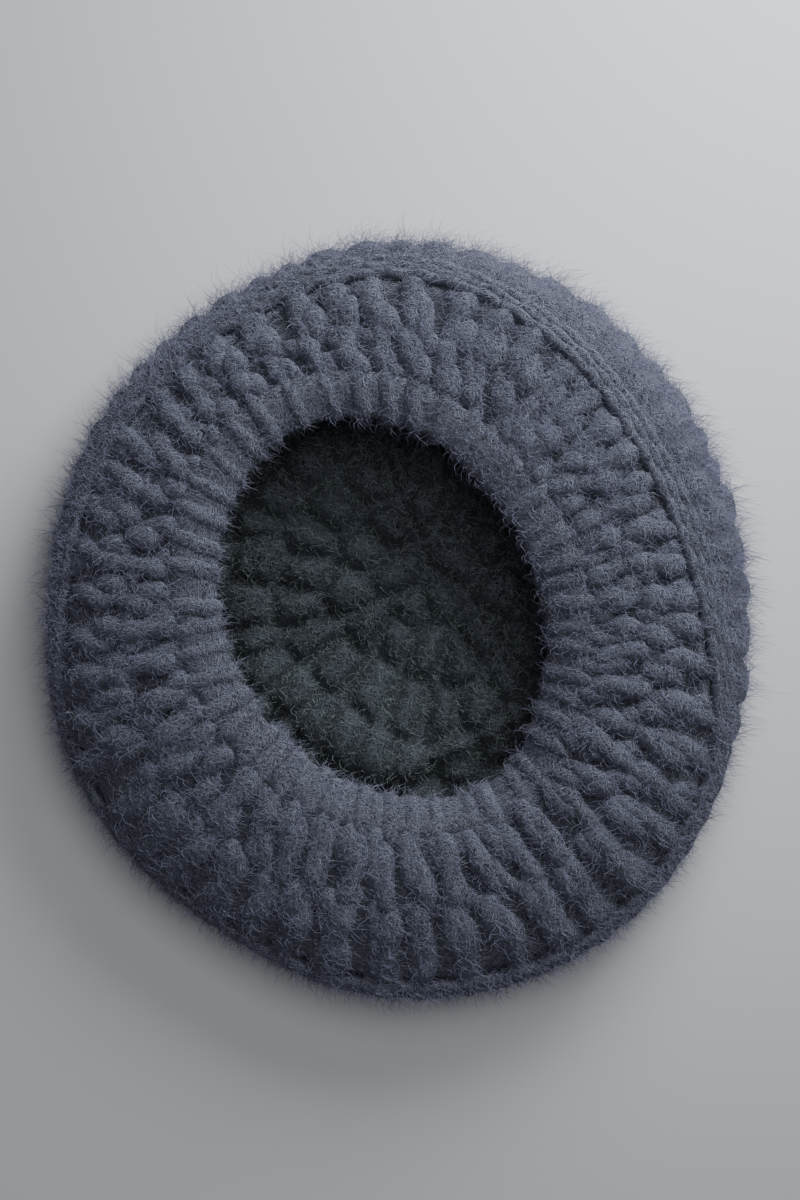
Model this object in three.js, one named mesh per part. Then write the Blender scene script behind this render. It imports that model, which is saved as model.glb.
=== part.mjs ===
// Tam in thick brushed wool, crocheted in rounds from the middle of the crown outwards.
// It lies crown down on the floor (z = 0) with its head opening facing up (+Z). Millimetres.
// Places around the hat are clock angles: 0 is +Y, 90 is +X.

import * as THREE from "three";

// Driving dimensions.
const SIZE = {
  outlineRadius: 136, // middle of the hat to its widest fold, on average
  openingRadius: 64, // middle of the hat to the edge of the head opening, on average
  foldHeight: 26, // floor to the widest line of the fold
  crestHeight: 55, // floor to the top of the underside, where it stands highest
  floorCurl: 34, // how far the cloth curls in below the widest line, down to the floor
  crestCurl: 38, // how far it curls in above the widest line, up to the crest
  wall: 7, // thickness of the crocheted cloth
  ridgeWidth: 9, // chain ridge between crown and underside, measured along the cloth
  ridgeRise: 2.6, // how far the ridge stands out of the cloth
  bandWidth: 13, // rolled band round the head opening, measured along the cloth
  bandPuff: 1.4, // how much the band swells beyond the cloth on each face
  ribRise: 1.6, // how far each post of the underside bulges out between its two slits
  postLean: 4, // how far a post leans sideways over its own length
  moundHeight: 14, // how far the crown puffs up off the floor inside the hat
  moundReach: 52, // middle of that puff to its foot, along its long way
  moundWidth: 30, // middle of that puff to its foot, along its short way
  clearance: 0.3, // gap between pieces worked onto each other
};

// Posts in each round of the underside.
const POSTS = 48;

// Share of the cloth between ridge and band that the outer round takes.
const OUTER_ROUND_SHARE = 0.54;

// The hat's form at each twelfth of the way round.
// outline and opening are shares of their radii, ridge is the angle up the fold in degrees,
// crest is a share of crestHeight, and rim is the band's height as a share of the crest there.
const AROUND = [
  { clock: 0, outline: 1.032, opening: 1.08, ridge: 47, crest: 1.0, rim: 0.93 },
  { clock: 30, outline: 1.003, opening: 0.88, ridge: 58, crest: 1.0, rim: 0.91 },
  { clock: 60, outline: 0.97, opening: 0.81, ridge: 64, crest: 0.99, rim: 0.9 },
  { clock: 90, outline: 0.965, opening: 0.83, ridge: 54, crest: 0.97, rim: 0.86 },
  { clock: 120, outline: 0.998, opening: 0.93, ridge: 26, crest: 0.92, rim: 0.76 },
  { clock: 150, outline: 1.042, opening: 1.1, ridge: 14, crest: 0.87, rim: 0.69 },
  { clock: 180, outline: 1.038, opening: 1.05, ridge: 14, crest: 0.88, rim: 0.74 },
  { clock: 210, outline: 0.982, opening: 0.98, ridge: 2, crest: 0.92, rim: 0.84 },
  { clock: 240, outline: 0.978, opening: 0.97, ridge: 2, crest: 0.96, rim: 0.89 },
  { clock: 270, outline: 0.965, opening: 1.02, ridge: 28, crest: 0.99, rim: 0.92 },
  { clock: 300, outline: 0.987, opening: 1.13, ridge: 37, crest: 1.0, rim: 0.94 },
  { clock: 330, outline: 1.0, opening: 1.2, ridge: 42, crest: 1.0, rim: 0.94 },
];

// The puff of the crown inside the hat: where its middle lies and which way it runs.
const MOUND = { clock: 205, out: 0.46, longWay: 125 };

// Steps of the mesh.
const STEPS = { crown: 84, post: 3, arc: 14, underside: 14, crownSide: 6 };

// Rings of the crown's flat part, as shares of the way out to where it leaves the floor.
const CROWN_RINGS = [0.25, 0.45, 0.62, 0.8, 0.92, 1];

const WOOL = {
  crown: { color: 0x3b3f4d, roughness: 0.96 },
  edge_ridge: { color: 0x4a4e5c, roughness: 0.95 },
  outer_round: { color: 0x44485a, roughness: 0.95 },
  inner_round: { color: 0x424657, roughness: 0.95 },
  opening_band: { color: 0x464a59, roughness: 0.95 },
};

const radians = THREE.MathUtils.degToRad;

// A column of the table at any clock angle, by a smooth closed curve through its rows.
function around(column, clock) {
  const count = AROUND.length;
  const place = (THREE.MathUtils.euclideanModulo(clock, 360) / 360) * count;
  const row = Math.floor(place);
  const t = place - row;
  const value = (step) => AROUND[(row + step + count) % count][column];
  const before = (value(1) - value(-1)) / 2;
  const after = (value(2) - value(0)) / 2;
  const bend = value(0) - value(1);
  return value(0) + t * (before + t * (-3 * bend - 2 * before - after + t * (2 * bend + before + after)));
}

// The middle of the cloth's thickness, from the middle of the crown out over the floor,
// round the fold and in along the underside to the head opening, as points [out, up].
function clothPoints(clock) {
  const half = SIZE.wall / 2;
  const widest = SIZE.outlineRadius * around("outline", clock) - half;
  const crest = SIZE.crestHeight * around("crest", clock) - half;
  const bandEnd = half + SIZE.bandPuff;
  const rimOut = SIZE.openingRadius * around("opening", clock) + bandEnd;
  const rimUp = crest * around("rim", clock);
  const points = [[0, half]];
  for (let step = 0; step <= STEPS.arc; step += 1) {
    const angle = (Math.PI / 2) * (step / STEPS.arc - 1);
    const out = widest - SIZE.floorCurl * (1 - Math.cos(angle));
    points.push([out, SIZE.foldHeight + (SIZE.foldHeight - half) * Math.sin(angle)]);
  }
  for (let step = 1; step <= STEPS.arc; step += 1) {
    const angle = (Math.PI / 2) * (step / STEPS.arc);
    const out = widest - SIZE.crestCurl * (1 - Math.cos(angle));
    points.push([out, SIZE.foldHeight + (crest - SIZE.foldHeight) * Math.sin(angle)]);
  }
  const crestOut = widest - SIZE.crestCurl;
  for (let step = 1; step <= STEPS.underside; step += 1) {
    const share = step / STEPS.underside;
    points.push([crestOut + (rimOut - crestOut) * share, crest + (rimUp - crest) * share ** 2.4]);
  }
  return points;
}

// The same line with its length, and the places along it where one piece ends and the next starts.
function clothLine(clock) {
  const points = clothPoints(clock);
  const lengths = [0];
  for (let i = 1; i < points.length; i += 1) {
    const [[a, b], [c, d]] = [points[i - 1], points[i]];
    lengths.push(lengths[i - 1] + Math.hypot(c - a, d - b));
  }
  const ridgeStep = STEPS.arc * (1 + around("ridge", clock) / 90) + 1;
  const whole = Math.floor(ridgeStep);
  const ridgeMiddle = THREE.MathUtils.lerp(lengths[whole], lengths[whole + 1], ridgeStep - whole);
  const end = lengths.at(-1);
  const ridgeStart = ridgeMiddle - SIZE.ridgeWidth / 2;
  const ridgeEnd = ridgeMiddle + SIZE.ridgeWidth / 2;
  const bandStart = end - SIZE.bandWidth;
  const roundsMeet = THREE.MathUtils.lerp(ridgeEnd, bandStart, OUTER_ROUND_SHARE);
  return { points, lengths, floorEnd: lengths[1], ridgeStart, ridgeEnd, roundsMeet, bandStart, end };
}

// The point at one length along the line, moved off it towards the hat's outer face.
function onCloth(line, length, offset) {
  const { points, lengths } = line;
  let i = 1;
  while (i < points.length - 1 && lengths[i] < length) i += 1;
  const tangentAt = (k) => {
    const [before, after] = [points[Math.max(k - 1, 0)], points[Math.min(k + 1, points.length - 1)]];
    return new THREE.Vector2(after[0] - before[0], after[1] - before[1]).normalize();
  };
  const t = (length - lengths[i - 1]) / (lengths[i] - lengths[i - 1]);
  const tangent = i === 1 ? new THREE.Vector2(1, 0) : tangentAt(i - 1).lerp(tangentAt(i), t).normalize();
  const out = THREE.MathUtils.lerp(points[i - 1][0], points[i][0], t) + tangent.y * offset;
  const up = THREE.MathUtils.lerp(points[i - 1][1], points[i][1], t) - tangent.x * offset;
  return { out, up };
}

// A place in the hat from its clock angle, its distance from the middle and its height.
function placed(clock, { out, up }) {
  const angle = radians(clock);
  return new THREE.Vector3(out * Math.sin(angle), out * Math.cos(angle), up);
}

// A closed mesh from its points and the corners of its triangles.
function solid(name, points, corners) {
  const geometry = new THREE.BufferGeometry().setFromPoints(points);
  geometry.setIndex(corners);
  geometry.computeVertexNormals();
  const material = new THREE.MeshStandardMaterial({ ...WOOL[name], metalness: 0 });
  const mesh = new THREE.Mesh(geometry, material);
  mesh.name = name;
  return mesh;
}

// The two triangles between neighbouring corners of two sections.
function strip(corners, a, b, c, d) {
  corners.push(a, b, c, a, c, d);
}

// A ring whose section changes round the hat. sectionAt gives the section's places at one step,
// first along the outer face towards the opening, then back along the inner face.
function ring(name, steps, sectionAt) {
  const sections = Array.from({ length: steps }, (_, step) => sectionAt(step));
  const count = sections[0].length;
  const corners = [];
  for (let step = 0; step < steps; step += 1) {
    const next = ((step + 1) % steps) * count;
    for (let k = 0; k < count; k += 1) {
      const l = (k + 1) % count;
      strip(corners, step * count + k, step * count + l, next + l, next + k);
    }
  }
  return solid(name, sections.flat(), corners);
}

// How far the crown is puffed up off the floor at one place.
function moundLift({ x, y }) {
  const middle = placed(MOUND.clock, { out: MOUND.out * SIZE.outlineRadius, up: 0 });
  const turn = radians(MOUND.longWay);
  const [dx, dy] = [x - middle.x, y - middle.y];
  const along = (dx * Math.sin(turn) + dy * Math.cos(turn)) / SIZE.moundReach;
  const across = (dx * Math.cos(turn) - dy * Math.sin(turn)) / SIZE.moundWidth;
  const away = Math.hypot(along, across);
  return away < 1 ? (SIZE.moundHeight * (1 + Math.cos(Math.PI * away))) / 2 : 0;
}

// The crown: a soft dish that lies on the floor and curls up round the fold to the ridge.
function makeCrown() {
  const half = SIZE.wall / 2;
  const points = [];
  const rings = CROWN_RINGS.length + STEPS.crownSide;
  for (const face of [half, -half]) {
    points.push(new THREE.Vector3(0, 0, half - face));
    for (let step = 0; step < STEPS.crown; step += 1) {
      const clock = (360 * step) / STEPS.crown;
      const line = clothLine(clock);
      const edge = line.ridgeStart - SIZE.clearance / 2;
      CROWN_RINGS.forEach((share) => {
        const place = placed(clock, onCloth(line, share * line.floorEnd, face));
        place.z += moundLift(place) * (1 - share ** 8);
        points.push(place);
      });
      for (let k = 1; k <= STEPS.crownSide; k += 1) {
        const length = THREE.MathUtils.lerp(line.floorEnd, edge, k / STEPS.crownSide);
        points.push(placed(clock, onCloth(line, length, face)));
      }
    }
  }
  const corners = [];
  const inner = 1 + STEPS.crown * rings;
  for (let step = 0; step < STEPS.crown; step += 1) {
    const here = 1 + step * rings;
    const next = 1 + ((step + 1) % STEPS.crown) * rings;
    corners.push(0, here, next, inner, inner + next, inner + here);
    for (let k = 0; k < rings - 1; k += 1) {
      strip(corners, here + k, here + k + 1, next + k + 1, next + k);
      strip(corners, inner + next + k, inner + next + k + 1, inner + here + k + 1, inner + here + k);
    }
    const last = rings - 1;
    strip(corners, here + last, inner + here + last, inner + next + last, next + last);
  }
  return solid("crown", points, corners);
}

// The ridge of chain loops between the crown and the underside.
function makeEdgeRidge() {
  const half = SIZE.wall / 2;
  const humps = [
    { along: 0, rise: 0.15 },
    { along: 0.35, rise: 1 },
    { along: 0.8, rise: 0.85 },
    { along: 1, rise: 0 },
  ];
  return ring("edge_ridge", POSTS * 2, (step) => {
    const clock = (360 * step) / (POSTS * 2);
    const line = clothLine(clock);
    const from = line.ridgeStart + SIZE.clearance / 2;
    const to = line.ridgeEnd - SIZE.clearance / 2;
    const at = (along, offset) => placed(clock, onCloth(line, THREE.MathUtils.lerp(from, to, along), offset));
    return [
      ...humps.map(({ along, rise }) => at(along, half + rise * SIZE.ridgeRise)),
      at(1, -half),
      at(0, -half),
    ];
  });
}

// One round of posts: each post is a lobe between two slits, leaning a little as it goes in.
function makeRound(name, startKey, endKey) {
  const half = SIZE.wall / 2;
  const steps = POSTS * STEPS.post;
  const swell = [
    { along: 0, share: 0.35 },
    { along: 0.3, share: 1 },
    { along: 0.75, share: 1 },
    { along: 1, share: 0.35 },
  ];
  const pitchDegrees = 360 / POSTS;
  return ring(name, steps, (step) => {
    const lobe = Math.sin((Math.PI * (step % STEPS.post)) / STEPS.post);
    const at = (along, offset) => {
      const middleOut = (SIZE.outlineRadius + SIZE.openingRadius) / 2;
      const lean = THREE.MathUtils.radToDeg(SIZE.postLean / middleOut) * along;
      const clock = (pitchDegrees * step) / STEPS.post + lean;
      const line = clothLine(clock);
      const from = line[startKey] + SIZE.clearance / 2;
      const to = line[endKey] - SIZE.clearance / 2;
      return placed(clock, onCloth(line, THREE.MathUtils.lerp(from, to, along), offset));
    };
    return [
      ...swell.map(({ along, share }) => at(along, half + SIZE.ribRise * (lobe * share - 0.4))),
      at(1, -half),
      at(0, -half),
    ];
  });
}

// The rolled band round the head opening, with a round inner edge.
function makeOpeningBand() {
  const half = SIZE.wall / 2;
  const full = half + SIZE.bandPuff;
  const steps = POSTS * STEPS.post;
  return ring("opening_band", steps, (step) => {
    const clock = (360 * step) / steps;
    const line = clothLine(clock);
    const from = line.bandStart + SIZE.clearance / 2;
    const swell = SIZE.ribRise * 0.4 * Math.sin((Math.PI * (step % STEPS.post)) / STEPS.post);
    const at = (length, offset) => placed(clock, onCloth(line, length, offset));
    const middle = (from + line.end) / 2;
    return [
      at(from, half),
      at(middle, full + swell),
      at(line.end, full * 0.8 + swell),
      at(line.end + full * 0.8, 0),
      at(line.end, -full * 0.8),
      at(middle, -full),
      at(from, -half),
    ];
  });
}

function makeTam() {
  const tam = new THREE.Group();
  tam.add(makeCrown());
  tam.add(makeEdgeRidge());
  tam.add(makeRound("outer_round", "ridgeEnd", "roundsMeet"));
  tam.add(makeRound("inner_round", "roundsMeet", "bandStart"));
  tam.add(makeOpeningBand());
  return tam;
}

// The origin is on the floor, under the middle of the hat's box.
function centred(tam) {
  const box = new THREE.Box3().setFromObject(tam, true);
  const middle = box.getCenter(new THREE.Vector3());
  tam.position.set(-middle.x, -middle.y, -box.min.z);
  const group = new THREE.Group();
  group.add(tam);
  return group;
}

export default centred(makeTam());
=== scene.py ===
"""A crocheted tam in thick brushed wool, lying crown down with its head opening up.

Metres, +Z up. Places round the hat are clock angles in degrees: 0 is +Y and 90 is +X.
"""

import logging
import math
from dataclasses import dataclass, field
from enum import Enum
from typing import Any

import bpy
import numpy as np
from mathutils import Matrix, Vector


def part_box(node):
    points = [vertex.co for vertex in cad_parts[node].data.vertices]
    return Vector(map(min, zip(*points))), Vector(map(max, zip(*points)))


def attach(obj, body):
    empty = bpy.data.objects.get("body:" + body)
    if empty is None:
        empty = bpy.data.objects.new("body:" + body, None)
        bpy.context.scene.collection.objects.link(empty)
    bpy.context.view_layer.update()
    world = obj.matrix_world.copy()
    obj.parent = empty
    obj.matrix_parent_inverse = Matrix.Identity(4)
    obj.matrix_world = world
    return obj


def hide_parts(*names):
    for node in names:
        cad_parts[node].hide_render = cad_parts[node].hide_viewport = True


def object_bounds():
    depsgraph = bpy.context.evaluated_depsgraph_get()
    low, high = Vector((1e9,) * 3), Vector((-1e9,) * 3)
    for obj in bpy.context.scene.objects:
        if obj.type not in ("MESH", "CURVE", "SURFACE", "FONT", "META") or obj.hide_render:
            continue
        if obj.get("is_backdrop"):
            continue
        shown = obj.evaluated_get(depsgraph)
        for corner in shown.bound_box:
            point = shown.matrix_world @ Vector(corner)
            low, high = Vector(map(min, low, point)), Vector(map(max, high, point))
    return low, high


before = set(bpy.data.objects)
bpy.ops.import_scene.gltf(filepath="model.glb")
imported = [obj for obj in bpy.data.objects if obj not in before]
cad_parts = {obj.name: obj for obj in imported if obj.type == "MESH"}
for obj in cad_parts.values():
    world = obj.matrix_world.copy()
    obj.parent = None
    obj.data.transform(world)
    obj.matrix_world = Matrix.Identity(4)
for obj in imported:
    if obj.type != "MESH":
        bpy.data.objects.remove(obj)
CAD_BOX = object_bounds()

logging.basicConfig(level=logging.INFO, format="%(message)s")
LOG = logging.getLogger("tam")

BODY = "root"
MM = 0.001
TURN = 360.0
QUARTER_TURN = 90.0

# How far a strand's end is drawn in, where 1 would close it to a point, and how late along the strand.
END_TAPER = 0.97
END_POWER = 6

# The seed of the draws that make one stitch differ from the next.
DICE_SEED = 7

Points = np.ndarray
Colour = tuple[float, float, float]


@dataclass(frozen=True)
class Span:
    """A range that a size is drawn from."""

    low: float
    high: float

    def draw(self, dice: np.random.Generator) -> float:
        """One value from the range."""
        return dice.uniform(self.low, self.high)


# The hat's form


class Column(Enum):
    """The columns of the table of the hat's form."""

    OUTLINE = "outline"
    OPENING = "opening"
    RIDGE = "ridge"
    CREST = "crest"
    RIM = "rim"


class Meeting(Enum):
    """Where, along the cloth, one stretch of the hat ends and the next starts."""

    FLOOR = "floor"
    RIDGE_START = "ridge_start"
    RIDGE_END = "ridge_end"
    ROUNDS = "rounds"
    BAND = "band"
    END = "end"


@dataclass(frozen=True)
class Twelfth:
    """The hat's form at one clock angle.

    clock only labels the row: the rows stand at even steps. outline and opening are shares of their
    radii, ridge is the angle up the fold in degrees, crest is a share of the crest's height, and rim is
    the band's height as a share of the crest there.
    """

    clock: float
    outline: float
    opening: float
    ridge: float
    crest: float
    rim: float


AROUND = (
    Twelfth(0, 1.032, 1.08, 47, 1.0, 0.93),
    Twelfth(30, 1.003, 0.88, 58, 1.0, 0.91),
    Twelfth(60, 0.97, 0.81, 64, 0.99, 0.9),
    Twelfth(90, 0.965, 0.83, 54, 0.97, 0.86),
    Twelfth(120, 0.998, 0.93, 26, 0.92, 0.76),
    Twelfth(150, 1.042, 1.1, 14, 0.87, 0.69),
    Twelfth(180, 1.038, 1.05, 14, 0.88, 0.74),
    Twelfth(210, 0.982, 0.98, 2, 0.92, 0.84),
    Twelfth(240, 0.978, 0.97, 2, 0.96, 0.89),
    Twelfth(270, 0.965, 1.02, 28, 0.99, 0.92),
    Twelfth(300, 0.987, 1.13, 37, 1.0, 0.94),
    Twelfth(330, 1.0, 1.2, 42, 1.0, 0.94),
)


@dataclass(frozen=True)
class Puff:
    """The stretch of crown that stands up off the floor inside the hat."""

    clock: float = 205.0
    out: float = 0.46
    long_way: float = 125.0
    height: float = 0.014
    reach: float = 0.052
    width: float = 0.030


def clock_steps(count: int) -> Points:
    """Even clock angles all the way round."""
    return np.arange(count) * TURN / count


def ramp(value: Points, over: float = 1.0) -> Points:
    """Rises evenly from 0, where the value is 0, to 1, where it is over, and stays level beyond both."""
    return np.clip(value / over, 0.0, 1.0)


@dataclass
class HatForm:
    """The middle of the cloth everywhere, from the crown's middle round the fold to the opening.

    The cloth is kept as columns, one for each step round the hat, of places at even shares of its length.
    """

    outline_radius: float = 0.136
    opening_radius: float = 0.064
    fold_height: float = 0.026
    crest_height: float = 0.055
    floor_curl: float = 0.034
    crest_curl: float = 0.038
    wall: float = 0.007
    ridge_width: float = 0.009
    band_width: float = 0.013
    band_puff: float = 0.0014
    outer_share: float = 0.54
    rim_drop_power: float = 2.4
    puff_fade_power: int = 8
    puff: Puff = field(default_factory=Puff)
    columns: int = 720
    rows: int = 260
    arc_steps: int = 24
    probes: int = 12

    def __post_init__(self) -> None:
        """Works out the columns, the places where the pieces meet, and where the hat's middle lies."""
        shares = np.linspace(0.0, 1.0, self.rows)
        self.out = np.zeros((self.columns, self.rows))
        self.up = np.zeros((self.columns, self.rows))
        self.length = np.zeros(self.columns)
        self.stations = {meeting: np.zeros(self.columns) for meeting in Meeting}
        for column, clock in enumerate(clock_steps(self.columns)):
            self._fill_column(column, clock, shares)
        d_out = np.gradient(self.out, axis=1)
        d_up = np.gradient(self.up, axis=1)
        norm = np.hypot(d_out, d_up)
        self.normal_out = d_up / norm
        self.normal_up = -d_out / norm
        self.middle = Vector((0.0, 0.0))
        self.middle = self._middle_in_frame()

    def _fill_column(self, column: int, clock: float, shares: Points) -> None:
        """Fills one column.

        Args:
            column: its number.
            clock: its clock angle.
            shares: the even shares of the cloth's length that it is kept at.
        """
        half = self.wall / 2
        widest = self.outline_radius * self.table(Column.OUTLINE, clock) - half
        crest = self.crest_height * self.table(Column.CREST, clock) - half
        rim_out = self.opening_radius * self.table(Column.OPENING, clock) + half + self.band_puff
        rim_up = crest * self.table(Column.RIM, clock)
        turn = np.linspace(0.0, math.pi / 2, self.arc_steps + 1)
        low_out = widest - self.floor_curl * (1 - np.sin(turn))
        low_up = self.fold_height - (self.fold_height - half) * np.cos(turn)
        high_out = widest - self.crest_curl * (1 - np.cos(turn[1:]))
        high_up = self.fold_height + (crest - self.fold_height) * np.sin(turn[1:])
        share = np.linspace(0.0, 1.0, self.arc_steps + 1)[1:]
        crest_out = widest - self.crest_curl
        in_out = crest_out + (rim_out - crest_out) * share
        in_up = crest + (rim_up - crest) * share**self.rim_drop_power
        out = np.concatenate(([0.0], low_out, high_out, in_out))
        up = np.concatenate(([half], low_up, high_up, in_up))
        lengths = np.concatenate(([0.0], np.cumsum(np.hypot(np.diff(out), np.diff(up)))))
        ridge_at = self.arc_steps * (1 + self.table(Column.RIDGE, clock) / QUARTER_TURN) + 1
        ridge = float(np.interp(ridge_at, np.arange(len(lengths)), lengths))
        end = lengths[-1]
        ridge_end = ridge + self.ridge_width / 2
        band = end - self.band_width
        marks = self.stations
        marks[Meeting.FLOOR][column] = lengths[1]
        marks[Meeting.RIDGE_START][column] = ridge - self.ridge_width / 2
        marks[Meeting.RIDGE_END][column] = ridge_end
        marks[Meeting.ROUNDS][column] = ridge_end + self.outer_share * (band - ridge_end)
        marks[Meeting.BAND][column] = band
        marks[Meeting.END][column] = end
        self.length[column] = end
        self.out[column] = np.interp(shares * end, lengths, out)
        self.up[column] = np.interp(shares * end, lengths, up)

    def table(self, column: Column, clock: float) -> float:
        """A column of the table at any clock angle, by a smooth closed curve through its rows.

        Args:
            column: which column.
            clock: the clock angle.

        Returns:
            The value there.
        """
        count = len(AROUND)
        place = (clock % TURN) / TURN * count
        row = int(place)
        t = place - row
        values = [getattr(AROUND[(row + step) % count], column.value) for step in (-1, 0, 1, 2)]
        before, here, there, after = values
        leave = (there - before) / 2
        arrive = (after - here) / 2
        bend = here - there
        return here + t * (leave + t * (-3 * bend - 2 * leave - arrive + t * (2 * bend + leave + arrive)))

    def _middle_in_frame(self) -> Vector:
        """Where the hat's middle lies in the frame, from the box of the crown's solid.

        Returns:
            Its X and Y.
        """
        clocks = clock_steps(self.columns)
        floor = self.station(Meeting.FLOOR, clocks)
        ridge = self.station(Meeting.RIDGE_START, clocks)
        rings = []
        for share in np.linspace(0.0, 1.0, self.probes):
            rings.append(self.place(clocks, floor * (1 - share) + ridge * share, self.wall / 2))
        places = np.concatenate(rings)
        low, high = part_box("crown")
        middles = []
        for way in (0, 1):
            own = (places[:, way].min() + places[:, way].max()) / 2
            middles.append((low[way] + high[way]) / 2 - own)
        return Vector(middles)

    def station(self, meeting: Meeting, clock: Points) -> Points:
        """How far along the cloth one meeting of pieces lies.

        Args:
            meeting: which meeting.
            clock: clock angles.

        Returns:
            The lengths there.
        """
        row = np.append(self.stations[meeting], self.stations[meeting][0])
        return np.interp(np.mod(clock, TURN), np.linspace(0.0, TURN, self.columns + 1), row)

    def _sample(self, grid: Points, clock: Points, share: Points) -> Points:
        """Reads a grid of columns and rows between its steps.

        Args:
            grid: the grid.
            clock: clock angles.
            share: shares of the cloth's length.

        Returns:
            The values there.
        """
        x = np.mod(clock, TURN) / TURN * self.columns
        y = ramp(share) * (self.rows - 1)
        i = np.floor(x).astype(int)
        j = np.minimum(np.floor(y).astype(int), self.rows - 2)
        fx = x - i
        fy = y - j
        here = i % self.columns
        there = (i + 1) % self.columns
        near = grid[here, j] * (1 - fy) + grid[here, j + 1] * fy
        far = grid[there, j] * (1 - fy) + grid[there, j + 1] * fy
        return near * (1 - fx) + far * fx

    def place(self, clock: Points, length: Points, offset: Points) -> Points:
        """Places on or off the cloth.

        Args:
            clock: clock angles.
            length: how far along the cloth from the crown's middle.
            offset: how far off the middle of the cloth, towards the hat's outer face.

        Returns:
            An array of places in the frame, one row each.
        """
        clock, length, offset = np.broadcast_arrays(np.asarray(clock, float), length, offset)
        whole_lengths = np.repeat(self.length[:, None], self.rows, axis=1)
        whole = self._sample(whole_lengths, clock, np.zeros_like(length))
        share = length / whole
        past = np.maximum(length - whole, 0.0)
        n_out = self._sample(self.normal_out, clock, share)
        n_up = self._sample(self.normal_up, clock, share)
        out = self._sample(self.out, clock, share) + n_out * offset - n_up * past
        up = self._sample(self.up, clock, share) + n_up * offset + n_out * past
        angle = np.radians(clock)
        x = out * np.sin(angle) + self.middle[0]
        y = out * np.cos(angle) + self.middle[1]
        floor = self.station(Meeting.FLOOR, clock)
        fade = 1 - ramp(length, floor) ** self.puff_fade_power
        return np.stack([x, y, up + self.puff_lift(x, y) * fade], axis=-1)

    def puff_lift(self, x: Points, y: Points) -> Points:
        """How far the crown is puffed up off the floor.

        Args:
            x: places' X.
            y: places' Y.

        Returns:
            The heights.
        """
        puff = self.puff
        at = math.radians(puff.clock)
        turn = math.radians(puff.long_way)
        dx = x - self.middle[0] - puff.out * self.outline_radius * math.sin(at)
        dy = y - self.middle[1] - puff.out * self.outline_radius * math.cos(at)
        along = (dx * math.sin(turn) + dy * math.cos(turn)) / puff.reach
        across = (dx * math.cos(turn) - dy * math.sin(turn)) / puff.width
        away = np.minimum(np.hypot(along, across), 1.0)
        return puff.height * (1 + np.cos(math.pi * away)) / 2


# Node trees


class NodeBench:
    """A node tree under construction, with short calls to add nodes and join them."""

    def __init__(self, tree: bpy.types.NodeTree) -> None:
        """Takes the tree to work on."""
        self.tree = tree

    @staticmethod
    def pick(sockets: Any, name: str) -> bpy.types.NodeSocket:
        """The first socket in use with a name."""
        return next(s for s in sockets if s.name == name and s.enabled)

    def add(self, kind: str, inputs: dict[str, Any] | None = None, **settings: Any) -> bpy.types.Node:
        """Adds a node.

        Args:
            kind: its type.
            inputs: values, or sockets to join, by the name of its inputs.
            **settings: its own settings.

        Returns:
            The node.
        """
        node = self.tree.nodes.new(kind)
        for name, value in settings.items():
            setattr(node, name, value)
        for name, value in (inputs or {}).items():
            self.feed(self.pick(node.inputs, name), value)
        return node

    def feed(self, socket: bpy.types.NodeSocket, value: Any) -> None:
        """Sets an input to a value, or joins a node or socket to it.

        Args:
            socket: the input.
            value: a plain value, a socket, or a node whose first socket in use is taken.
        """
        if isinstance(value, bpy.types.Node):
            value = next(s for s in value.outputs if s.enabled)
        if isinstance(value, bpy.types.NodeSocket):
            self.tree.links.new(value, socket)
        else:
            socket.default_value = value

    def math(self, operation: str, *values: Any, clamp: bool = False) -> bpy.types.Node:
        """Adds a Math node.

        Args:
            operation: what it works out.
            *values: its inputs in order.
            clamp: whether its result is kept between 0 and 1.

        Returns:
            The node.
        """
        node = self.tree.nodes.new("ShaderNodeMath")
        node.operation = operation
        node.use_clamp = clamp
        for socket, value in zip(node.inputs, values):
            self.feed(socket, value)
        return node

    def vector(self, operation: str, *values: Any, scale: Any = None) -> bpy.types.Node:
        """Adds a Vector Math node.

        Args:
            operation: what it works out.
            *values: its vectors in order.
            scale: its scale, for an operation that has one.

        Returns:
            The node.
        """
        node = self.tree.nodes.new("ShaderNodeVectorMath")
        node.operation = operation
        for socket, value in zip(node.inputs, values):
            self.feed(socket, value)
        if scale is not None:
            self.feed(node.inputs["Scale"], scale)
        return node

    def noise(self, scale: Any, detail: float, where: Any = None, seed: Any = 0.0) -> bpy.types.Node:
        """Adds a 4D Noise Texture.

        Args:
            scale: waves a metre.
            detail: its detail.
            where: the places that it is read at, or None for the node's own.
            seed: its fourth way.

        Returns:
            The node.
        """
        node = self.add("ShaderNodeTexNoise", {}, noise_dimensions="4D")
        self.feed(node.inputs["Scale"], scale)
        self.feed(node.inputs["Detail"], detail)
        self.feed(node.inputs["W"], seed)
        if where is not None:
            self.feed(node.inputs["Vector"], where)
        return node

    def stored(self, name: str) -> bpy.types.NodeSocket:
        """The number that a mesh keeps under a name."""
        node = self.add("GeometryNodeInputNamedAttribute", {"Name": name}, data_type="FLOAT")
        return node.outputs["Attribute"]

    def blend(self, share: Any, first: Any, second: Any) -> bpy.types.NodeSocket:
        """Adds a mix of two colours.

        Args:
            share: how much of the second.
            first: the first colour.
            second: the second colour.

        Returns:
            The mixed colour's socket.
        """
        node = self.add("ShaderNodeMix", {}, data_type="RGBA")
        self.feed(node.inputs["Factor"], share)
        self.feed(self.pick(node.inputs, "A"), first)
        self.feed(self.pick(node.inputs, "B"), second)
        return self.pick(node.outputs, "Result")


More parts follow.
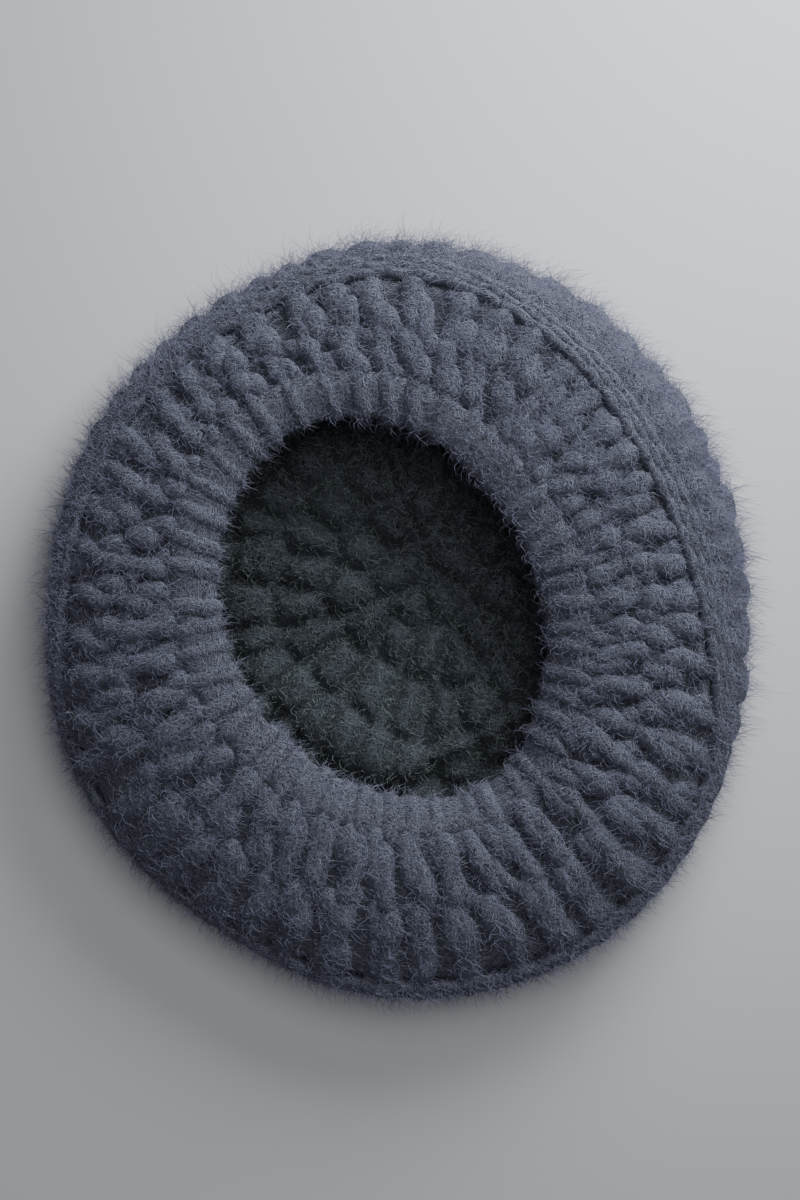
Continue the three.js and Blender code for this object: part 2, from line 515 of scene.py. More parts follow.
class GeometryTool:
    """A Geometry Nodes tree used as a tool: run on one mesh, it leaves a plain mesh."""

    def __init__(self, name: str, sizes: dict[str, float | int | None]) -> None:
        """Opens the tree with its named inputs.

        Args:
            name: the tree's name.
            sizes: each input's name with its default; None is a material.
        """
        self.tree = bpy.data.node_groups.new(name, "GeometryNodeTree")
        self.bench = NodeBench(self.tree)
        face = self.tree.interface
        face.new_socket("Geometry", in_out="INPUT", socket_type="NodeSocketGeometry")
        for label, value in sizes.items():
            socket = face.new_socket(label, in_out="INPUT", socket_type=self._socket_kind(value))
            if value is not None:
                socket.default_value = value
        face.new_socket("Geometry", in_out="OUTPUT", socket_type="NodeSocketGeometry")
        self.source = self.tree.nodes.new("NodeGroupInput")

    @staticmethod
    def _socket_kind(value: float | int | None) -> str:
        """The socket type that fits a default.

        Args:
            value: the default; None is a material.

        Returns:
            The type's name.
        """
        if value is None:
            return "NodeSocketMaterial"
        return "NodeSocketInt" if isinstance(value, int) else "NodeSocketFloat"

    def size(self, label: str) -> bpy.types.NodeSocket:
        """The socket of one named input."""
        return self.source.outputs[label]

    def close(self, geometry: Any) -> None:
        """Ends the tree: what sinks is flattened, instances are realized, and the material is set.

        Args:
            geometry: what the tree has made.
        """
        b = self.bench
        real = b.add("GeometryNodeRealizeInstances", {"Geometry": self._on_floor(geometry)})
        smooth = b.add("GeometryNodeSetShadeSmooth", {"Geometry": real, "Shade Smooth": True})
        dress = {"Geometry": smooth, "Material": self.size("Material")}
        painted = b.add("GeometryNodeSetMaterial", dress)
        sink = self.tree.nodes.new("NodeGroupOutput")
        self.tree.links.new(painted.outputs["Geometry"], sink.inputs["Geometry"])

    def _on_floor(self, geometry: Any) -> bpy.types.Node:
        """Flattens what would sink through the floor.

        Args:
            geometry: what lies there.

        Returns:
            The Set Position node.
        """
        b = self.bench
        place = b.add("ShaderNodeSeparateXYZ", {"Vector": b.add("GeometryNodeInputPosition")})
        height = b.math("MAXIMUM", place.outputs["Z"], self.size("Floor"))
        kept = b.add(
            "ShaderNodeCombineXYZ", {"X": place.outputs["X"], "Y": place.outputs["Y"], "Z": height}
        )
        return b.add("GeometryNodeSetPosition", {"Geometry": geometry, "Position": kept})

    def run(self, mesh: bpy.types.Mesh, name: str, values: dict[str, Any]) -> bpy.types.Mesh:
        """Runs the tree on a mesh.

        Args:
            mesh: what it works on.
            name: the new mesh's name.
            values: values of its named inputs.

        Returns:
            The finished plain mesh.
        """
        holder = bpy.data.objects.new(name + "_holder", mesh)
        bpy.context.scene.collection.objects.link(holder)
        modifier = holder.modifiers.new("tool", "NODES")
        modifier.node_group = self.tree
        for item in self.tree.interface.items_tree:
            if item.in_out == "INPUT" and item.name in values:
                modifier[item.identifier] = values[item.name]
        graph = bpy.context.evaluated_depsgraph_get()
        done = bpy.data.meshes.new_from_object(holder.evaluated_get(graph), depsgraph=graph)
        done.name = name
        bpy.data.objects.remove(holder)
        bpy.data.meshes.remove(mesh)
        return done


class YarnTool(GeometryTool):
    """Turns drawn strand paths into lumpy round yarn."""

    LUMP_DETAIL = 3.0

    def __init__(self) -> None:
        """Builds the tree: path, thickness, section, lumps, and the floor that the yarn is flattened on."""
        super().__init__(
            "yarn_on_paths",
            {
                "Sides": 10,
                "Lumps": 0.0005,
                "Lump Scale": 300.0,
                "Seed": 3.0,
                "Floor": 0.0003,
                "Material": None,
            },
        )
        b = self.bench
        path = b.add("GeometryNodeMeshToCurve", {"Mesh": self.size("Geometry")})
        thick = b.stored("thickness")
        ring = b.add("GeometryNodeCurvePrimitiveCircle", {"Resolution": self.size("Sides"), "Radius": 1.0})
        tube = b.add(
            "GeometryNodeCurveToMesh",
            {"Curve": path, "Profile Curve": ring.outputs["Curve"], "Scale": thick, "Fill Caps": True},
        )
        wave = b.noise(self.size("Lump Scale"), self.LUMP_DETAIL, seed=self.size("Seed"))
        push = b.math("MULTIPLY", b.math("SUBTRACT", wave.outputs["Fac"], 0.5), self.size("Lumps"))
        out = b.vector("SCALE", b.add("GeometryNodeInputNormal"), scale=push)
        self.close(b.add("GeometryNodeSetPosition", {"Geometry": tube, "Offset": out}))


@dataclass(frozen=True)
class HairShape:
    """How one brushed hair is bent and tapered, and how hairs differ from each other.

    lean and the two bows are shares of the hair's length. shortest and longer_by are shares of it too.
    """

    lean: float = 0.25
    lean_power: float = 2.0
    bow: float = 0.45
    side_bow: float = 0.3
    taper_power: float = 0.5
    sides: int = 3
    shortest: float = 0.25
    longer_by: float = 0.8
    longer_power: float = 1.8
    longer_seed: float = 7.0
    sway_scale: float = 110.0
    sway_detail: float = 1.0
    sway_seed: float = 2.0
    sway_power: float = 1.5
    merge_within: float = 0.000002


class FibreTool(GeometryTool):
    """Stands brushed fibres on a skin, each a thin tapered hair bent by the same wandering waves."""

    def __init__(self, shape: HairShape) -> None:
        """Builds the tree: one bent hair, points spread on the skin, its lay, its curl and the floor.

        Args:
            shape: how a hair is bent and tapered.
        """
        super().__init__(
            "brushed_fibres",
            {
                "Density": 200000.0,
                "Length": 0.009,
                "Thickness": 0.00008,
                "Stand": 0.55,
                "Curl": 0.004,
                "Segments": 2,
                "Seed": 1,
                "Floor": 0.0003,
                "Material": None,
            },
        )
        self.shape = shape
        b = self.bench
        hairs = self._standing_hairs()
        real = b.add("GeometryNodeRealizeInstances", {"Geometry": hairs})
        wave = b.noise(shape.sway_scale, shape.sway_detail, seed=shape.sway_seed)
        sway = b.vector("SUBTRACT", wave.outputs["Color"], (0.5, 0.5, 0.5))
        bend = b.math("MULTIPLY", b.math("POWER", b.stored("tip"), shape.sway_power), self.size("Curl"))
        curl = b.vector("SCALE", sway, scale=bend)
        self.close(b.add("GeometryNodeSetPosition", {"Geometry": real, "Offset": curl}))

    def _standing_hairs(self) -> bpy.types.Node:
        """Spreads points on the skin, as thickly as it is covered, and stands a hair on each.

        Returns:
            The node that puts out the hairs.
        """
        b = self.bench
        seed = self.size("Seed")
        thickly = b.math("MULTIPLY", self.size("Density"), b.stored("cover"))
        spread = b.add(
            "GeometryNodeDistributePointsOnFaces",
            {"Mesh": self.size("Geometry"), "Density": thickly, "Seed": seed},
            distribute_method="RANDOM",
        )
        away = b.add(
            "FunctionNodeRandomValue",
            {"Min": (-1.0,) * 3, "Max": (1.0,) * 3, "Seed": seed},
            data_type="FLOAT_VECTOR",
        )
        stand = b.vector("SCALE", spread.outputs["Normal"], scale=self.size("Stand"))
        way = b.vector("ADD", stand, b.vector("NORMALIZE", away))
        turned = b.add(
            "FunctionNodeAlignRotationToVector",
            {"Rotation": (0.0, 0.0, 0.0), "Factor": 1.0, "Vector": way},
            axis="Z",
        )
        scale = b.add("ShaderNodeCombineXYZ", {"X": 1.0, "Y": 1.0, "Z": self._length_share(seed)})
        return b.add(
            "GeometryNodeInstanceOnPoints",
            {
                "Points": spread.outputs["Points"],
                "Instance": self._hair(),
                "Rotation": turned,
                "Scale": scale,
            },
        )

    def _length_share(self, seed: bpy.types.NodeSocket) -> bpy.types.Node:
        """How long each hair is, as a share of the longest kind; most are short.

        Args:
            seed: the tree's seed.

        Returns:
            The node that puts out the share.
        """
        b = self.bench
        shape = self.shape
        chance = b.add(
            "FunctionNodeRandomValue",
            {"Min": 0.0, "Max": 1.0, "Seed": b.math("ADD", seed, shape.longer_seed)},
            data_type="FLOAT",
        )
        longer = b.math("MULTIPLY", b.math("POWER", chance, shape.longer_power), shape.longer_by)
        return b.math("ADD", longer, shape.shortest)

    def _hair(self) -> bpy.types.Node:
        """Makes one hair along Z: a bent tapered line, and how near its tip each point is.

        Returns:
            The node that puts out the hair.
        """
        b = self.bench
        shape = self.shape
        points = b.math("ADD", self.size("Segments"), 1.0)
        steps = b.add("GeometryNodeMeshLine", {"Count": points})
        straight = b.add("GeometryNodeMeshToCurve", {"Mesh": steps})
        factor = b.add("GeometryNodeSplineParameter").outputs["Factor"]
        arch = b.math("MULTIPLY", factor, b.math("SUBTRACT", 1.0, factor))
        tilt = b.math("MULTIPLY", b.math("POWER", factor, shape.lean_power), shape.lean)
        lean = b.math("SUBTRACT", tilt, b.math("MULTIPLY", arch, shape.bow))
        side = b.math("MULTIPLY", arch, shape.side_bow)
        bent = b.add("ShaderNodeCombineXYZ", {"X": lean, "Y": side, "Z": factor})
        place = b.vector("SCALE", bent, scale=self.size("Length"))
        line = b.add("GeometryNodeSetPosition", {"Geometry": straight, "Position": place})
        marked = b.add(
            "GeometryNodeStoreNamedAttribute",
            {"Geometry": line, "Name": "tip", "Value": factor},
            data_type="FLOAT",
            domain="POINT",
        )
        taper = b.math("POWER", b.math("SUBTRACT", 1.0, factor), shape.taper_power)
        round_wire = {"Resolution": shape.sides, "Radius": self.size("Thickness")}
        ring = b.add("GeometryNodeCurvePrimitiveCircle", round_wire)
        hair = b.add(
            "GeometryNodeCurveToMesh",
            {"Curve": marked, "Profile Curve": ring.outputs["Curve"], "Scale": taper, "Fill Caps": True},
        )
        return b.add("GeometryNodeMergeByDistance", {"Geometry": hair, "Distance": shape.merge_within})


# Finishes


@dataclass(frozen=True)
class HairLayer:
    """One layer of the wool's matted hairs: its seed, and its waves a metre along X, Y and Z."""

    seed: float
    scale: tuple[float, float, float]


@dataclass(frozen=True)
class WoolPattern:
    """The shared look of brushed wool: mottling, matted hairs running every way, and their relief."""

    name: str = "brushed_wool"
    mottle_scale: float = 38.0
    mottle_detail: float = 3.0
    mottle_middle: float = 0.4
    mottle_strength: float = 0.8
    warp_scale: float = 260.0
    warp_seed: float = 4.0
    warp_reach: float = 0.004
    layers: tuple[HairLayer, ...] = (
        HairLayer(1.0, (1500.0, 240.0, 1500.0)),
        HairLayer(2.0, (240.0, 1500.0, 1500.0)),
        HairLayer(3.0, (1100.0, 1100.0, 300.0)),
    )
    fine_detail: float = 2.0
    hair_low: float = 0.50
    hair_high: float = 0.70
    hair_strength: float = 0.75
    roughest: float = 0.98
    smoother_on_hairs: float = 0.12

    def group(self) -> bpy.types.NodeTree:
        """Gives the shader group, built at its first use.

        Returns:
            The group, which puts out a colour, a roughness and a height.
        """
        if self.name in bpy.data.node_groups:
            return bpy.data.node_groups[self.name]
        tree = bpy.data.node_groups.new(self.name, "ShaderNodeTree")
        face = tree.interface
        for label, kind in (("Place", "Vector"), ("Deep", "Color"), ("Light", "Color")):
            face.new_socket(label, in_out="INPUT", socket_type="NodeSocket" + kind)
        for label, kind in (("Color", "Color"), ("Roughness", "Float"), ("Height", "Float")):
            face.new_socket(label, in_out="OUTPUT", socket_type="NodeSocket" + kind)
        b = NodeBench(tree)
        source = tree.nodes.new("NodeGroupInput")
        place = source.outputs["Place"]
        fine = self._matted_hairs(b, place)
        mottle = b.noise(self.mottle_scale, self.mottle_detail, place)
        patch = b.math("SUBTRACT", mottle.outputs["Fac"], self.mottle_middle)
        patches = b.math("MULTIPLY", patch, self.mottle_strength)
        tone = b.math("ADD", b.math("MULTIPLY", fine, self.hair_strength), patches, clamp=True)
        rough = b.math("SUBTRACT", self.roughest, b.math("MULTIPLY", fine, self.smoother_on_hairs))
        sink = tree.nodes.new("NodeGroupOutput")
        b.feed(sink.inputs["Color"], b.blend(tone, source.outputs["Deep"], source.outputs["Light"]))
        b.feed(sink.inputs["Roughness"], rough)
        b.feed(sink.inputs["Height"], fine)
        return tree

    def _matted_hairs(self, b: NodeBench, place: bpy.types.NodeSocket) -> bpy.types.NodeSocket:
        """Lays the layers of hairs over each other, warped so that none runs straight.

        Args:
            b: the group's bench.
            place: the places that the pattern is read at.

        Returns:
            A mask that is 1 on a hair and 0 between hairs.
        """
        warp = b.noise(self.warp_scale, self.fine_detail, place, self.warp_seed)
        sway = b.vector("SUBTRACT", warp.outputs["Color"], (0.5, 0.5, 0.5))
        bent = b.vector("ADD", place, b.vector("SCALE", sway, scale=self.warp_reach))
        hairs = []
        for layer in self.layers:
            stretched = b.vector("MULTIPLY", bent, layer.scale)
            hairs.append(b.noise(1.0, self.fine_detail, stretched, layer.seed).outputs["Fac"])
        matted = b.math("MAXIMUM", hairs[0], b.math("MAXIMUM", hairs[1], hairs[2]))
        sharp = {"Value": matted, "From Min": self.hair_low, "From Max": self.hair_high}
        return b.add("ShaderNodeMapRange", sharp).outputs["Result"]


def bare_material(name: str) -> tuple[bpy.types.Material, NodeBench]:
    """Opens a material with an empty node tree.

    Args:
        name: the material's name.

    Returns:
        The material and the bench for its tree.
    """
    made = bpy.data.materials.new(name)
    made.use_nodes = True
    made.node_tree.nodes.clear()
    return made, NodeBench(made.node_tree)


@dataclass(frozen=True)
class WoolFinish:
    """The look of one stretch of wool."""

    name: str
    deep: Colour
    light: Colour
    bump: float = 0.6
    sheen: float = 0.5
    bump_reach: float = 0.0016
    sheen_roughness: float = 0.5
    sheen_tint: Colour = (0.75, 0.8, 1.0)
    specular: float = 0.15

    def material(self) -> bpy.types.Material:
        """Builds the material.

        Returns:
            A material that reads Object coordinates.
        """
        made, b = bare_material(self.name)
        group = b.add("ShaderNodeGroup", {}, node_tree=WoolPattern().group())
        where = b.add("ShaderNodeTexCoord").outputs["Object"]
        for label, value in (("Place", where), ("Deep", (*self.deep, 1.0)), ("Light", (*self.light, 1.0))):
            b.feed(group.inputs[label], value)
        relief = {"Strength": self.bump, "Distance": self.bump_reach, "Height": group.outputs["Height"]}
        skin = b.add(
            "ShaderNodeBsdfPrincipled",
            {
                "Base Color": group.outputs["Color"],
                "Roughness": group.outputs["Roughness"],
                "Normal": b.add("ShaderNodeBump", relief),
                "Sheen Weight": self.sheen,
                "Sheen Roughness": self.sheen_roughness,
                "Sheen Tint": (*self.sheen_tint, 1.0),
                "Specular IOR Level": self.specular,
            },
        )
        b.add("ShaderNodeOutputMaterial", {"Surface": skin.outputs["BSDF"]})
        return made


@dataclass(frozen=True)
class FibreFinish:
    """The look of brushed fibres, paler towards their tips, where the pale tips are painted glow of backlit
    fibres.
    """

    name: str
    root: Colour
    tip: Colour
    tip_glow: float = 0.7
    tone_scale: float = 70.0
    tone_detail: float = 2.0
    tone_strength: float = 0.45
    roughness: float = 0.7
    sheen: float = 0.3
    specular: float = 0.3

    def material(self) -> bpy.types.Material:
        """Builds the material.

        Returns:
            A material that reads the hair's own tip attribute and Object coordinates.
        """
        made, b = bare_material(self.name)
        along = b.add("ShaderNodeAttribute", {}, attribute_name="tip").outputs["Fac"]
        where = b.add("ShaderNodeTexCoord").outputs["Object"]
        tone = b.noise(self.tone_scale, self.tone_detail, where).outputs["Fac"]
        patches = b.math("MULTIPLY", tone, self.tone_strength)
        # Painted light: each hair is blended towards the pale tip colour along its length, standing in for
        # backlit fibres glowing.
        share = b.math("ADD", b.math("MULTIPLY", along, self.tip_glow), patches, clamp=True)
        skin = b.add(
            "ShaderNodeBsdfPrincipled",
            {
                "Base Color": b.blend(share, (*self.root, 1.0), (*self.tip, 1.0)),
                "Roughness": self.roughness,
                "Sheen Weight": self.sheen,
                "Specular IOR Level": self.specular,
            },
        )
        b.add("ShaderNodeOutputMaterial", {"Surface": skin.outputs["BSDF"]})
        return made


class Finish(Enum):
    """The finishes of the hat's wool, of its fibres and of the lint on it; some are lightened or darkened
    copies of the slate wool and fibres, as painted light and shade.
    """

    SLATE = WoolFinish("slate_wool", (0.014, 0.015, 0.026), (0.096, 0.104, 0.155), bump=1.0)
    # Painted shade: the crown's inside is a darker, greener copy of the slate wool, tuned to the shade in
    # the hat's hollow.
    INSIDE = WoolFinish("shaded_wool", (0.005, 0.007, 0.008), (0.092, 0.121, 0.131), bump=1.0, sheen=0.2)
    # Painted light: a slightly lighter copy of the slate wool for the opening band, where light falls on
    # the rolled rim.
    RIM = WoolFinish("lit_rim_wool", (0.016, 0.017, 0.028), (0.106, 0.114, 0.160), bump=1.0)
    # Painted shade: a much darker copy of the slate wool, for the backing seen in the slits between
    # stitches.
    PIT_SHADE = WoolFinish("pit_shade_wool", (0.008, 0.009, 0.013), (0.040, 0.043, 0.060))
    # Painted light: the fibres are far lighter than the yarn and lightest at their tips, standing in for
    # fibres glowing against the light.
    SLATE_FIBRES = FibreFinish("slate_fibres", (0.073, 0.077, 0.126), (0.275, 0.290, 0.430))
    # Painted light and shade: a copy of the slate fibres, retoned to how the hollow inside the hat is lit.
    SHADED_INSIDE_FIBRES = FibreFinish("shaded_inside_fibres", (0.056, 0.074, 0.078), (0.30, 0.385, 0.385))
    LINT = FibreFinish("lint", (0.30, 0.31, 0.33), (0.62, 0.64, 0.66))


# Mesh helpers


def mesh_from(name: str, points: Points, faces: list[tuple[int, ...]]) -> bpy.types.Mesh:
    """Makes a mesh from its points and faces.

    Args:
        name: its name.
        points: its points, one row each.
        faces: the corners of each face.

    Returns:
        The mesh.
    """
    mesh = bpy.data.meshes.new(name)
    mesh.from_pydata(points.tolist(), [], faces)
    mesh.update()
    return mesh


def set_values(mesh: bpy.types.Mesh, name: str, values: Points) -> None:
    """Gives every point of a mesh a named value, or a named vector.

    Args:
        mesh: the mesh.
        name: the values' name.
        values: a value, or a row of three, for each point.
    """
    vectors = values.ndim == 2
    kind = "FLOAT_VECTOR" if vectors else "FLOAT"
    layer = mesh.attributes.get(name) or mesh.attributes.new(name, kind, "POINT")
    flat = np.ascontiguousarray(values, np.float32).reshape(-1)
    layer.data.foreach_set("vector" if vectors else "value", flat)


def get_values(mesh: bpy.types.Mesh, name: str, width: int = 1) -> Points:
    """Reads the named value, or vector, of every point of a mesh.

    Args:
        mesh: the mesh.
        name: the values' name.
        width: 1 for values, 3 for vectors.

    Returns:
        The values.
    """
    values = np.empty(len(mesh.vertices) * width, np.float32)
    mesh.attributes[name].data.foreach_get("vector" if width == 3 else "value", values)
    return values.reshape(-1, width) if width > 1 else values


def drop_values(mesh: bpy.types.Mesh, *names: str) -> None:
    """Takes working values off a finished mesh.

    Args:
        mesh: the mesh.
        *names: the values' names.
    """
    for name in names:
        if name in mesh.attributes:
            mesh.attributes.remove(mesh.attributes[name])


def rows_of(items: Any, what: str, count: int) -> Points:
    """Reads a vector of every item of a mesh.

    Args:
        items: the mesh's own collection.
        what: the vector's name there.
        count: how many items.

    Returns:
        The vectors, one row each.
    """
    values = np.empty(count * 3, np.float32)
    items.foreach_get(what, values)
    return values.reshape(-1, 3)


def covered_area(mesh: bpy.types.Mesh) -> float:
    """Works out the area that fibres stand on, each face counted by how thickly it is covered.

    Args:
        mesh: the skin, with its cover.

    Returns:
        The area in square metres.
    """
    cover = get_values(mesh, "cover")
    areas = np.empty(len(mesh.polygons), np.float32)
    starts = np.empty(len(mesh.polygons), np.int32)
    totals = np.empty(len(mesh.polygons), np.int32)
    corners = np.empty(len(mesh.loops), np.int32)
    mesh.polygons.foreach_get("area", areas)
    mesh.polygons.foreach_get("loop_start", starts)
    mesh.polygons.foreach_get("loop_total", totals)
    mesh.loops.foreach_get("vertex_index", corners)
    return float(np.sum(areas * np.add.reduceat(cover[corners], starts) / totals))


def rounded_ends(u: Points) -> Points:
    """How full a strand is along its length, from -1 at its start to 1 at its end."""
    return np.sqrt(1.0 - END_TAPER * u**END_POWER)


def strand_steps(count: int) -> Points:
    """Steps along a strand from -1 to 1, closer together towards its ends."""
    return np.sin(np.linspace(-math.pi / 2, math.pi / 2, count))


class StrandPaths:
    """The drawn paths of yarn strands, with how thick each is and which way is out of the cloth."""

    def __init__(self) -> None:
        """Starts with no strand."""
        self.points: list[Points] = []
        self.away: list[Points] = []
        self.thickness: list[Points] = []
        self.edges: list[tuple[int, int]] = []
        self.count = 0

    def add(self, path: Points, above: Points, thickness: Points, closed: bool = False) -> None:
        """Adds one strand.

        Args:
            path: its places, one row each.
            above: the places just above them, away from the cloth.
            thickness: its radius at each place.
            closed: whether it runs into its own start.
        """
        size = len(path)
        away = above - path
        self.points.append(path)
        self.away.append(away / np.linalg.norm(away, axis=1, keepdims=True))
        self.thickness.append(np.broadcast_to(thickness, (size,)))
        self.edges += [(self.count + k, self.count + k + 1) for k in range(size - 1)]
        if closed:
            self.edges.append((self.count + size - 1, self.count))
        self.count += size

    def mesh(self, name: str) -> bpy.types.Mesh:
        """Makes the paths a mesh of edges that carries its thickness.

        Args:
            name: the mesh's name.

        Returns:
            The mesh.
        """
        mesh = bpy.data.meshes.new(name)
        mesh.from_pydata(np.concatenate(self.points).tolist(), self.edges, [])
        set_values(mesh, "thickness", np.concatenate(self.thickness))
        set_values(mesh, "away", np.concatenate(self.away))
        return mesh


def ring_mesh(name: str, sections: Points) -> bpy.types.Mesh:
    """Makes a closed ring from its sections.

    Args:
        name: the mesh's name.
        sections: an array [step, corner, XYZ], the corners running along the outer face and back inside.

    Returns:
        The mesh, faces outward.
    """
    steps, corners, _ = sections.shape
    faces = []
    for step in range(steps):
        here = step * corners
        there = (step + 1) % steps * corners
        for k in range(corners):
            after = (k + 1) % corners
            faces.append((here + k, here + after, there + after, there + k))
    return mesh_from(name, sections.reshape(-1, 3), faces)


# The pieces


@dataclass(frozen=True)
class YarnLook:
    """How a piece's yarn is spun: the sides of its section, and its lumps."""

    sides: int
    lumps: float
    lump_scale: float = 300.0


@dataclass(frozen=True)
class FibreLook:
    """How one stretch of cloth is brushed."""

    count: int
    length: float = 0.0086
    stand: float = 0.3
    thickness: float = 0.00011
    curl: float = 0.005
    segments: int = 2
    finish: Finish = Finish.SLATE_FIBRES
    seed: int = 1


@dataclass
class Workshop:
    """What every piece is worked with: the hat's form, the tools and the finished materials."""

    form: HatForm
    yarn: YarnTool
    fibres: FibreTool
    materials: dict[Finish, bpy.types.Material]
    dice: np.random.Generator
    facing_strength: float = 1.4
    facing_least: float = 0.1
    backing_steps: int = 144
    backing_rows: int = 6

    def finish_piece(
        self, name: str, meshes: list[bpy.types.Mesh], slot: str, replaces: str = ""
    ) -> bpy.types.Object:
        """Joins meshes into one visible piece.

        Args:
            name: the piece's name.
            meshes: its meshes, each with its material.
            slot: not used.
            replaces: the node that it stands for, or an empty name.

        Returns:
            The piece.
        """
        objects = []
        for mesh in meshes:
            drop_values(mesh, "thickness", "away", "cover")
            mesh.shade_smooth()
            item = bpy.data.objects.new(name, mesh)
            bpy.context.scene.collection.objects.link(item)
            objects.append(item)
        if len(objects) > 1:
            with bpy.context.temp_override(active_object=objects[0], selected_editable_objects=objects):
                bpy.ops.object.join()
        piece = objects[0]
        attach(piece, BODY)
        if replaces:
            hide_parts(replaces)
        triangles = sum(len(p.vertices) - 2 for p in piece.data.polygons)
        LOG.info("%s: %d triangles", name, triangles)
        return piece

    def spin(self, name: str, strands: StrandPaths, finish: Finish, look: YarnLook) -> bpy.types.Mesh:
        """Spins drawn paths into yarn, covered by fibres where it faces out of the cloth.

        Args:
            name: the mesh's name.
            strands: the paths.
            finish: the yarn's finish.
            look: how it is spun.

        Returns:
            The yarn.
        """
        sizes = {
            "Material": self.materials[finish],
            "Sides": look.sides,
            "Lumps": look.lumps,
            "Lump Scale": look.lump_scale,
        }
        mesh = self.yarn.run(strands.mesh(name), name, sizes)
        normals = rows_of(mesh.vertex_normals, "vector", len(mesh.vertices))
        facing = np.sum(normals * get_values(mesh, "away", 3), axis=1)
        set_values(mesh, "cover", ramp(facing * self.facing_strength + self.facing_least))
        return mesh

    def brush(self, name: str, skin: bpy.types.Mesh, look: FibreLook, slot: str) -> bpy.types.Object:
        """Stands fibres on a copy of a mesh, as a piece of their own.

        Args:
            name: the piece's name.
            skin: the mesh, with its cover.
            look: how it is brushed.
            slot: passed on to finish_piece.

        Returns:
            The piece.
        """
        sizes = {
            "Material": self.materials[look.finish],
            "Density": look.count / covered_area(skin),
            "Length": look.length,
            "Stand": look.stand,
            "Thickness": look.thickness,
            "Curl": look.curl,
            "Segments": look.segments,
            "Seed": look.seed,
        }
        return self.finish_piece(name, [self.fibres.run(skin.copy(), name, sizes)], slot)

    def backing(self, name: str, start: Meeting, end: Meeting, thickness: float) -> bpy.types.Mesh:
        """Makes the matted cloth behind a round's stitches, so that no light comes through its slits.
        Its dark pit wool is painted shade in the slits.

        Args:
            name: the mesh's name.
            start: where it starts along the cloth.
            end: where it ends.
            thickness: how thick it is.

        Returns:
            The cloth.
        """
        clocks = clock_steps(self.backing_steps)
        shares = np.linspace(0.0, 1.0, self.backing_rows)
        first = self.form.station(start, clocks)[:, None]
        last = self.form.station(end, clocks)[:, None]
        lengths = first + (last - first) * shares
        outer = self.form.place(clocks[:, None], lengths, thickness / 2)
        inner = self.form.place(clocks[:, None], lengths[:, ::-1], -thickness / 2)
        mesh = ring_mesh(name, np.concatenate([outer, inner], axis=1))
        # Painted shade: the backing takes the dark pit wool, darker than the yarn, for the shade in the
        # slits.
        mesh.materials.append(self.materials[Finish.PIT_SHADE])
        return mesh


